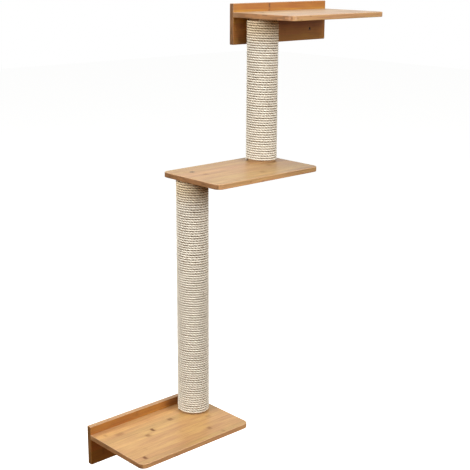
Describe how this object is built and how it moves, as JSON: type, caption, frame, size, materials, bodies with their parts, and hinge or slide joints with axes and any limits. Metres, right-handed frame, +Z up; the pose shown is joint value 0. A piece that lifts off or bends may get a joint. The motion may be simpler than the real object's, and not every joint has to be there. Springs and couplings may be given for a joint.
{
  "type": "wall mounted cat tree",
  "caption": "Wall mounted cat tree: rounded bamboo shelves step up to the right on posts wound with sisal rope, and the lowest and highest shelf have boards that screw to the wall.",
  "frame": {"origin": "midway between the two wall holes of the bottom board, on the wall plane (the board's back face)", "axes": "+X to the right along the wall as seen from the room, +Y into the wall, +Z up"},
  "size_m": [0.952, 0.26, 1.3],
  "materials": {
    "bamboo": "carbonised bamboo strips, clear satin lacquer",
    "sisal_rope": "natural twisted sisal",
    "cardboard": "plain kraft",
    "plug_wood": "plain turned wood",
    "nut_steel": "zinc plated",
    "bolt_steel": "zinc plated",
    "screw_steel": "zinc plated"
  },
  "bodies": {
    "root": {"bottom_wall_board": "bamboo", "bottom_shelf": "bamboo", "bottom_shelf_screws": "screw_steel", "middle_shelf": "bamboo", "top_wall_board": "bamboo", "top_shelf": "bamboo", "top_shelf_screws": "screw_steel", "lower_post_tube": "cardboard", "lower_post_rope": "sisal_rope", "lower_post_plugs": "plug_wood", "lower_post_nuts": "nut_steel", "lower_post_bolts": "bolt_steel", "upper_post_tube": "cardboard", "upper_post_rope": "sisal_rope", "upper_post_plugs": "plug_wood", "upper_post_nuts": "nut_steel", "upper_post_bolts": "bolt_steel"}
  },
  "joints": []
}
